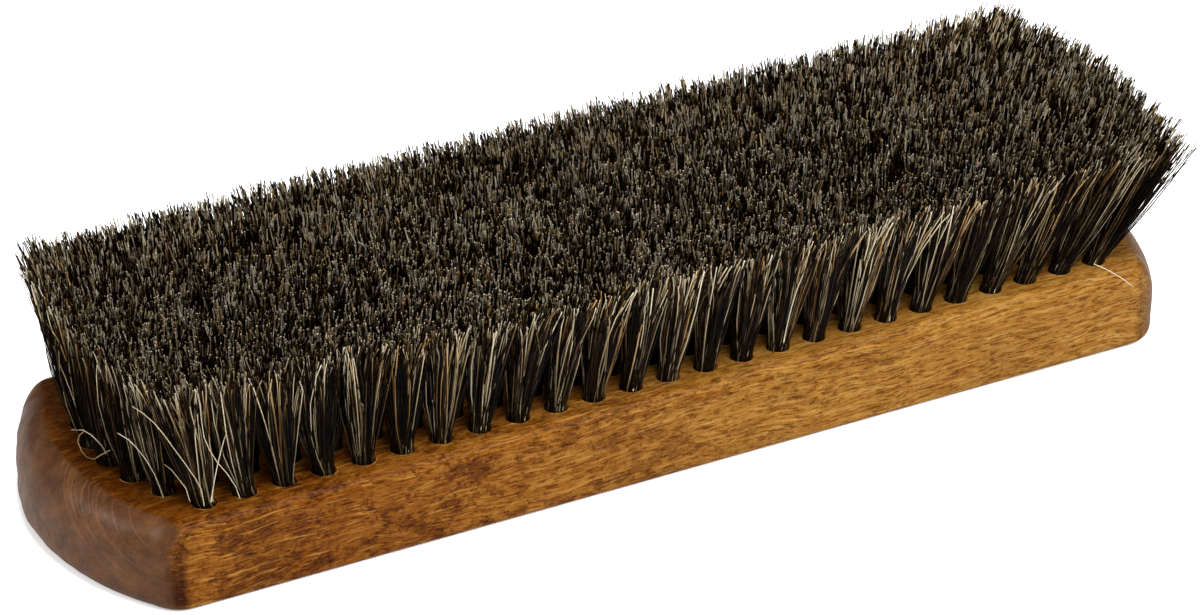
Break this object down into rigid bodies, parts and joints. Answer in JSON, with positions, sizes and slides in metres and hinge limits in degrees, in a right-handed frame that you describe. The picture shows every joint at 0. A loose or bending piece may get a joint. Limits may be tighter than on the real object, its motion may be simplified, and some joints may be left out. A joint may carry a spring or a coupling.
{
  "type": "shoe shine brush",
  "caption": "Shoe shine brush: a rounded hardwood stock whose drilled face holds fanned tufts of trimmed horsehair for polishing leather.",
  "frame": {"origin": "middle of the flat back that the brush lies on, at the bottom centre of the whole part's box", "axes": "+X along the brush, +Y across it, +Z from the back up through the hair"},
  "size_m": [0.2, 0.0588, 0.0376],
  "materials": {
    "stained_beech": "stained and satin varnished beech",
    "horsehair": "mixed dark brown, grey and pale horsehair, trimmed",
    "anchor_steel": "plain flat steel"
  },
  "bodies": {
    "root": {"stock": "stained_beech", "tuft_row_01": "horsehair", "tuft_row_02": "horsehair", "tuft_row_03": "horsehair", "tuft_row_04": "horsehair", "tuft_row_05": "horsehair", "tuft_row_06": "horsehair", "tuft_row_07": "horsehair", "tuft_row_08": "horsehair", "tuft_row_09": "horsehair", "tuft_row_10": "horsehair", "tuft_row_11": "horsehair", "tuft_row_12": "horsehair", "tuft_row_13": "horsehair", "tuft_row_14": "horsehair", "tuft_row_15": "horsehair", "tuft_row_16": "horsehair", "tuft_row_17": "horsehair", "tuft_row_18": "horsehair", "tuft_row_19": "horsehair", "tuft_row_20": "horsehair", "tuft_row_21": "horsehair", "tuft_row_22": "horsehair", "tuft_row_23": "horsehair", "tuft_row_24": "horsehair", "tuft_row_25": "horsehair", "tuft_anchors": "anchor_steel"}
  },
  "joints": []
}
